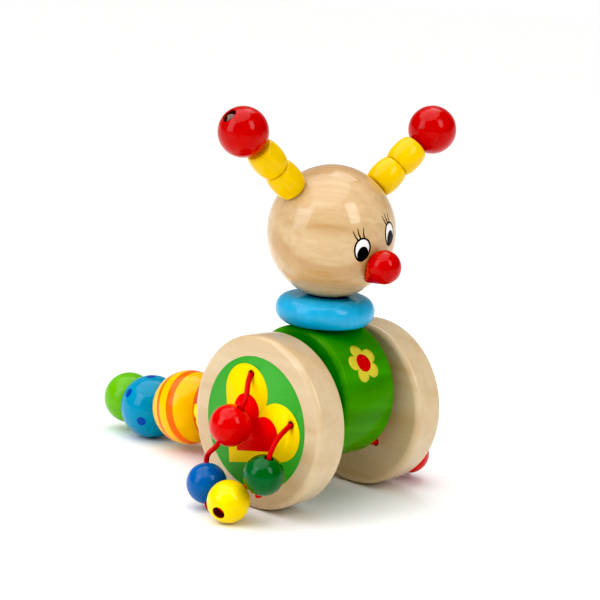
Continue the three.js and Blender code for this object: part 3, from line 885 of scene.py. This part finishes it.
def add_tail(centres):
    slots = dict(red="red_paint", yellow="amber_paint", blue="teal_blue_paint", green="apple_green_paint")
    for i, (bead, centre) in enumerate(zip(TAIL_BEADS, centres)):
        colour, radius = bead["colour"], bead["radius"]
        before = centres[i - 1] if i else BARREL_CENTRE
        front = (before - centre).normalized()
        last = i == len(centres) - 1
        back = -front if last else (centres[i + 1] - centre).normalized()
        matrix = facing(centre, back)
        material = tail_paint(colour, matrix, radius)
        shape = lathe(f"tail_{colour}_ball", arc(0, 0, radius, -90, 90, 56), material, matrix, 112)
        tools = [
            rod("bore", centre, centre + front * (radius + 5), TAIL_CORD["bore"]),
            rod("bore", centre - back, centre + back * (radius + 5), TAIL_CORD["bore"]),
        ]
        if last:
            floor = centre + back * (radius - TAIL_END["depth"])
            tools.append(rod("recess", floor, floor + back * 20, TAIL_END["recess"], None, 48))
            end = radius - TAIL_END["depth"] + GAP + TAIL_CORD["knot"] * 0.8
        else:
            following = TAIL_BEADS[i + 1]["radius"]
            tools.append(ball("cup", centres[i + 1], following + CUP_PLAY))
            end = (centres[i + 1] - centre).length - following - CUP_PLAY - GAP
        carve(shape, *tools)
        soften(shape, 0.4)
        put(shape, f"tail_{colour}", slots[colour], f"tail_bead_{colour}")
        start = centre + front * (radius - GAP)
        stop = centre + back * end
        path = bend(start, centre, stop, 24)
        cord = tube(f"tail_{colour}_elastic", path, TAIL_CORD["radius"], ELASTIC)
        put(cord, f"tail_{colour}", "elastic_cord", f"tail_cord_{colour}")
        if last:
            tied = knot("tail_end_knot", stop, back, KNOTS["tail"], TAIL_CORD["radius"] * 0.85, ELASTIC)
            put(tied, f"tail_{colour}", "elastic_cord")
    way = (centres[0] - BARREL_CENTRE).normalized()
    stub = [BARREL_CENTRE + way * (BARREL["radius"] - HOLE_DEPTH + GAP + k) for k in range(HOLE_DEPTH)]
    root = tube("tail_root_elastic", stub, TAIL_CORD["radius"], ELASTIC)
    put(root, "root", "elastic_cord", "tail_cord_root")


TAIL_PLACES = tail_centres()
add_tail(TAIL_PLACES)


# ---- Barrel ---------------------------------------------------------------------------------
def add_barrel():
    r, half, f = BARREL["radius"], BARREL["width"] / 2, BARREL["fillet"]
    edges = arc(r - f, f - half, f, -90, 0, 8) + arc(r - f, half - f, f, 0, 90, 8)
    profile = [(0, -half)] + edges + [(0, half)]
    barrel = lathe("barrel_block", profile, BARREL_GREEN, facing(BARREL_CENTRE, (0, 1, 0)), 160)
    tail_way = (TAIL_PLACES[0] - BARREL_CENTRE).normalized()
    under = side_circle(PULL_HOLE["slope"])
    bore = AXLE_RADIUS + 0.4

    def drill(name, way, radius):
        return rod(name, BARREL_CENTRE + way * (r - HOLE_DEPTH), BARREL_CENTRE + way * (r + 5), radius)

    carve(
        barrel,
        box("seat", (-r, -half - 5, SEAT_Z), (r, half + 5, SEAT_Z + 10)),
        rod("bore", (0, -half - 5, AXLE_Z), (0, half + 5, AXLE_Z), bore, None, 48),
        rod("socket", (0, 0, SEAT_Z - DOWEL["into_barrel"]), (0, 0, SEAT_Z + 5), DOWEL["radius"] + 0.4),
        drill("tail_hole", tail_way, TAIL_CORD["bore"]),
        drill("pull_hole", under, PULL_HOLE["radius"]),
    )
    put(soften(barrel, 0.4), "root", "green_body_paint", "body_barrel")


def barrel_surface(lift, angle, y):
    """Lays (sideways, upwards) millimetres on the barrel's front, about a point of it."""
    def surface(u, v):
        turned = angle + math.degrees(v / BARREL["radius"])
        place = side_circle(turned, BARREL["radius"] + lift)
        return at((place.x, y + u, place.z + BARREL_CENTRE.z))
    return surface


def round_surface(lift, centre, radius, azimuth, elevation, reach=None):
    """Lays (to its left, upwards) millimetres on a ball, about a direction from its centre.

    A shape that isn't quite a ball gives the reach of its surface in each direction."""
    def surface(u, v):
        a = azimuth + math.degrees(u / radius) / math.cos(math.radians(elevation))
        e = elevation + math.degrees(v / radius)
        way = heading(a, e)
        return at(centre + way * ((reach(way) if reach else radius) + lift))
    return surface


def curved_print(name, ink, sheet, body):
    """A coat of ink laid as a curved sheet on a body."""
    slot = dict(petal="print_yellow", flower_red="print_red", lash="print_black").get(ink, f"print_{ink}")
    put(layer(name, INKS[ink], *sheet, INK["curved"]), body, slot)


def flower_outline(petals, start, reach, size, middle, steps=14):
    """Round petals as one outline, and their round middle."""
    outline = []
    spread = 180 / petals
    # Where two neighbouring petals meet, seen from the first petal's centre.
    meet = math.degrees(math.atan2(reach * math.sin(math.radians(spread)), 0))
    half = min(meet + 35, 128)
    for k in range(petals):
        way = start + k * 360 / petals
        c = side_circle(way, reach)
        outline += arc(c.x, c.z, size, way - half, way + half, steps)
    return outline, arc(0, 0, middle, 0, 354, 59)


def add_flower(name, body, surface_at, petal_ink="petal"):
    outline, middle = flower_outline(**FLOWER)
    petals = filled_outline(outline, (0, 0), surface_at(0.04), rings=5)
    curved_print(f"{name}_petals", petal_ink, petals, body)
    disc = filled_outline(middle, (0, 0), surface_at(0.08), rings=4)
    curved_print(f"{name}_middle", "flower_red", disc, body)


add_barrel()
add_flower("barrel_flower", "root", lambda lift: barrel_surface(lift, **BARREL_FLOWER))
red_ball = TAIL_BEADS[0]["radius"]
for flower_side, flower_azimuth in TAIL_FLOWERS.items():
    add_flower(
        f"tail_flower_{flower_side}",
        "tail_red",
        lambda lift, a=flower_azimuth: round_surface(lift, TAIL_PLACES[0], red_ball, a, 0),
        "yellow",
    )


# ---- Neck -----------------------------------------------------------------------------------
def add_neck():
    bore, half, deep = DOWEL["radius"] + 0.4, RING["height"] / 2, RING["rim"]
    rim = [(RING["radius"] - deep + deep * c, half + half * s) for c, s in arc(0, 0, 1, -90, 90, 24)]
    profile = [(bore, 0)] + rim + [(bore, RING["height"]), (bore, 0)]
    ring = lathe("neck_ring_disc", profile, RING_BLUE, facing((0, 0, RING_Z), UP), 128)
    put(soften(ring, 0.3), "neck_ring", "sky_blue_paint", "neck_ring")
    low, high = SEAT_Z - DOWEL["into_barrel"] + GAP, HEAD_FLAT + DOWEL["into_head"]
    dowel = rod("neck_dowel_rod", (0, 0, low), (0, 0, high), DOWEL["radius"], WOODS["rod"], 40)
    put(soften(dowel, 0.5), "head", "natural_wood", "neck_dowel")


add_neck()


# ---- Head, eyes and nose --------------------------------------------------------------------
def head_reach(way):
    level = math.hypot(way.x, way.y) / HEAD["radius"]
    return 1 / math.hypot(level, way.z / HEAD["half_height"])


def head_profile(grown=0.0, steps=64):
    r, h = HEAD["radius"] + grown, HEAD["half_height"] + grown
    return [(r * c, h * s) for c, s in arc(0, 0, 1, -90, 90, steps)]


def nose_peg(name, radius, depth):
    way = heading(
        (NOSE_SEAT["azimuth"] + NOSE_TIP["azimuth"]) / 2,
        (NOSE_SEAT["elevation"] + NOSE_TIP["elevation"]) / 2,
    )
    start = HEAD_CENTRE + way * (HEAD["radius"] - depth)
    return rod(name, start, HEAD_CENTRE + way * (head_reach(way) + 4), radius)


def add_head():
    head = lathe("head_turned", head_profile(), WOODS["head"], facing(HEAD_CENTRE, UP), 144)
    socket_top = HEAD_FLAT + DOWEL["into_head"] + GAP
    tools = [
        box("flat", (-40, -40, HEAD_FLAT - 20), (40, 40, HEAD_FLAT)),
        rod("socket", (0, 0, HEAD_FLAT - 1), (0, 0, socket_top), DOWEL["radius"] + GAP),
        nose_peg("peg_hole", NOSE["peg"] + GAP, NOSE["peg_depth"] + GAP),
    ]
    for azimuth, elevation in ANTENNAE.values():
        way = heading(azimuth, elevation)
        reach = head_reach(way)
        deep = HEAD_CENTRE + way * (reach - ANTENNA_CORD["into_head"] - GAP)
        tools.append(rod("hole", deep, HEAD_CENTRE + way * (reach + 5), ANTENNA_CORD["radius"] + PLAY))
    carve(head, *tools)
    put(soften(head, 0.3), "head", "natural_wood", "head_ball")


def add_nose():
    seat_way = heading(NOSE_SEAT["azimuth"], NOSE_SEAT["elevation"])
    seat = HEAD_CENTRE + seat_way * (head_reach(seat_way) - NOSE_SEAT["sink"])
    tip = HEAD_CENTRE + heading(NOSE_TIP["azimuth"], NOSE_TIP["elevation"]) * NOSE_TIP["distance"]
    length = (tip - seat).length
    flare = math.degrees(math.asin((NOSE["radius"] - NOSE["neck"]) / length))
    profile = [(0, 0), (NOSE["neck"], 0)] + arc(0, length, NOSE["radius"], -flare, 90, 40)
    nose = lathe("nose_pear", profile, RED, facing(seat, tip - seat), 96)
    carve(nose, lathe("seat", head_profile(GAP), None, facing(HEAD_CENTRE, UP), 144))
    carve(nose, nose_peg("peg", NOSE["peg"], NOSE["peg_depth"]), operation="UNION")
    put(soften(nose, 0.5), "head", "red_paint", "nose")


def head_surface(lift, azimuth, elevation):
    return round_surface(lift, HEAD_CENTRE, HEAD["radius"], azimuth, elevation, head_reach)


def egg(width, height, steps=60, taper=0.1):
    """An oval outline, a little narrower at the bottom."""
    points = []
    for i in range(steps):
        a = math.tau * i / steps
        points.append((width * math.cos(a) * (1 + taper * math.sin(a)), height * math.sin(a)))
    return points


def lash(base, tip, width, surface, steps=6):
    """A tapering stroke from base to tip, as one closed strip."""
    along = Vector((tip[0] - base[0], tip[1] - base[1]))
    aside = Vector((-along.y, along.x)).normalized()
    points, faces = [], []
    for i in range(steps + 1):
        t = i / steps
        half = width / 2 * (1 - 0.62 * t)
        middle = Vector(base) + along * t + aside * 0.25 * math.sin(math.pi * t)
        points += [surface(*(middle + aside * half)), surface(*(middle - aside * half))]
    for i in range(steps):
        faces.append((2 * i, 2 * i + 1, 2 * i + 3, 2 * i + 2))
    return points, faces


def add_eye(side, azimuth, elevation):
    width, height, rim = EYE["width"], EYE["height"], EYE["rim"]
    outer, inner = egg(width, height), egg(width - rim, height - rim)
    white = filled_outline(inner, (0, 0), head_surface(0.03, azimuth, elevation), 6)
    curved_print(f"eye_{side}_white", "white", white, "head")
    outline = band(inner, outer, head_surface(0.05, azimuth, elevation))
    curved_print(f"eye_{side}_outline", "black", outline, "head")
    place = Vector(PUPIL["place"])
    pupil_outline = [place + Vector(p) for p in egg(PUPIL["width"], PUPIL["height"], taper=-0.05)]
    pupil = filled_outline(pupil_outline, place, head_surface(0.07, azimuth, elevation), 5)
    curved_print(f"eye_{side}_pupil", "black", pupil, "head")
    for i, (base, tip) in enumerate(LASHES):
        stroke = lash(base, tip, LASH_WIDTH, head_surface(0.04, azimuth, elevation))
        curved_print(f"eye_{side}_lash_{i + 1}", "lash", stroke, "head")


add_head()
add_nose()
for eye_side, eye_place in EYES.items():
    add_eye(eye_side, *eye_place)


# ---- Antennae -------------------------------------------------------------------------------
def add_antenna(side, azimuth, elevation):
    way = heading(azimuth, elevation)
    reach = head_reach(way)
    bore = ANTENNA_CORD["radius"] + PLAY
    length, end, wide = ANTENNA_BEAD["length"], ANTENNA_BEAD["end"], ANTENNA_BEAD["radius"]
    shares = [i / 32 for i in range(33)]
    curve = [(end + (wide - end) * math.sin(math.pi * t) ** 0.5, length * t) for t in shares]
    profile = [(bore, 0)] + curve + [(bore, length), (bore, 0)]
    for i, level in enumerate(("lower", "upper")):
        node = f"antenna_{side}_{level}_bead"
        start = HEAD_CENTRE + way * (reach + GAP + i * (length + GAP))
        bead = lathe(node + "_turned", profile, ANTENNA_YELLOW, facing(start, way), 80)
        put(soften(bead, 0.45), node, "yellow_paint", node)
    radius, recess, depth = ANTENNA_BALL["radius"], ANTENNA_BALL["recess"], ANTENNA_BALL["depth"]
    out = reach + GAP + 2 * (length + GAP) + radius
    mouth = math.sqrt(radius ** 2 - recess ** 2)
    low = -math.degrees(math.acos(bore / radius))
    shell = arc(0, 0, radius, low, math.degrees(math.acos(recess / radius)), 56)
    profile = shell + [(recess, mouth - depth), (bore, mouth - depth), shell[0]]
    node = f"antenna_{side}_ball"
    matrix = facing(HEAD_CENTRE + way * out, way)
    tip = lathe(node + "_turned", profile, RED, matrix, 112)
    put(soften(tip, 0.35), node, "red_paint", node)
    # Line the ball's recess with dark brown painted shade.
    shade_recess(node + "_bore", node, matrix, recess, mouth - depth, mouth - 0.45)
    stop = out + mouth - depth + GAP + 1.2
    run = [HEAD_CENTRE + way * far for far in straight(reach - ANTENNA_CORD["into_head"], stop, 24)]
    cord = tube(f"antenna_{side}_elastic", run, ANTENNA_CORD["radius"], ELASTIC)
    put(cord, "head", "elastic_cord", f"antenna_{side}_cord")
    knot_place = HEAD_CENTRE + way * (stop + 0.6)
    tied = knot(f"antenna_{side}_knot", knot_place, way, KNOTS["antenna"], 1.0, ELASTIC)
    put(tied, "head", "elastic_cord")


for antenna_side, (antenna_azimuth, antenna_elevation) in ANTENNAE.items():
    add_antenna(antenna_side, antenna_azimuth, antenna_elevation)


# ---- Floor and light ------------------------------------------------------------------------
def add_floor():
    n = Nodes("floor_pale", 0.7)
    mottle = n.noise(n.features(250, 250))
    n.colour(n.ramp(mottle, [(0.3, srgb("f9f9f8")), (0.7, srgb("fcfcfb"))]))
    reach = 30
    corners = [(-reach, -reach, 0), (reach, -reach, 0), (reach, reach, 0), (-reach, reach, 0)]
    floor = new_object("floor", corners, [(0, 1, 2, 3)], n.material)
    floor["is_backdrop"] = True


def add_light(name, kind, way, energy, place=(0, 0, 0)):
    """A light that shines back along a heading."""
    data = bpy.data.lights.new(name, kind)
    data.energy = energy
    turn = way.to_track_quat("Z", "Y").to_matrix().to_4x4()
    link_object(name, data, Matrix.Translation(place) @ turn)
    return data


def add_softbox(name, azimuth, elevation, distance, size, power, tint=(1, 1, 1)):
    """A rectangular light that faces the toy from a direction."""
    way = heading(azimuth, elevation)
    data = add_light(name, "AREA", way, power, at((0, 0, 80)) + way * distance)
    data.shape = "RECTANGLE"
    data.size, data.size_y = size
    data.color = tint


def add_ceiling():
    """Broad light from above, the same all over the floor."""
    data = add_light("ceiling", "SUN", heading(-120, 74), 2.5)
    data.angle = math.radians(75)


def add_surroundings(overhead=0.34, horizon=1.0):
    """A room that is as pale as the floor at the horizon, and dimmer above."""
    world = bpy.data.worlds.new("studio")
    bpy.context.scene.world = world
    world.use_nodes = True
    tree = world.node_tree
    way = tree.nodes.new("ShaderNodeTexCoord")
    split = tree.nodes.new("ShaderNodeSeparateXYZ")
    fade = tree.nodes.new("ShaderNodeMapRange")
    limits = {"From Min": 0.01, "From Max": 0.14, "To Min": horizon, "To Max": overhead}
    for socket, value in limits.items():
        fade.inputs[socket].default_value = value
    tree.links.new(way.outputs["Generated"], split.inputs["Vector"])
    tree.links.new(split.outputs["Z"], fade.inputs["Value"])
    tree.links.new(fade.outputs[0], tree.nodes["Background"].inputs["Strength"])
    tree.nodes["Background"].inputs["Color"].default_value = (1, 1, 1, 1)


def set_view(black=0.024):
    """Colours as they are, with the haze of the pale room taken out of the darkest tones."""
    view = bpy.context.scene.view_settings
    view.view_transform = "Standard"
    view.use_curve_mapping = True
    view.curve_mapping.black_level = (black, black, black)
    view.curve_mapping.update()


def add_lights():
    add_softbox("softbox_left", -107, 24, 1.25, (0.62, 0.8), 5.2, (0.92, 0.98, 1.06))
    add_softbox("softbox_right", -4, 37, 1.25, (0.4, 0.75), 4.7)
    add_softbox("softbox_above", 113, 60, 1.3, (0.55, 0.4), 1.8)
    add_ceiling()
    add_surroundings()
    set_view()


add_floor()
add_lights()

visual_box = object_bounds()
boxes = {"cad": cad_box, "visual": visual_box}
{name: [list(corner) for corner in corners] for name, corners in boxes.items()}
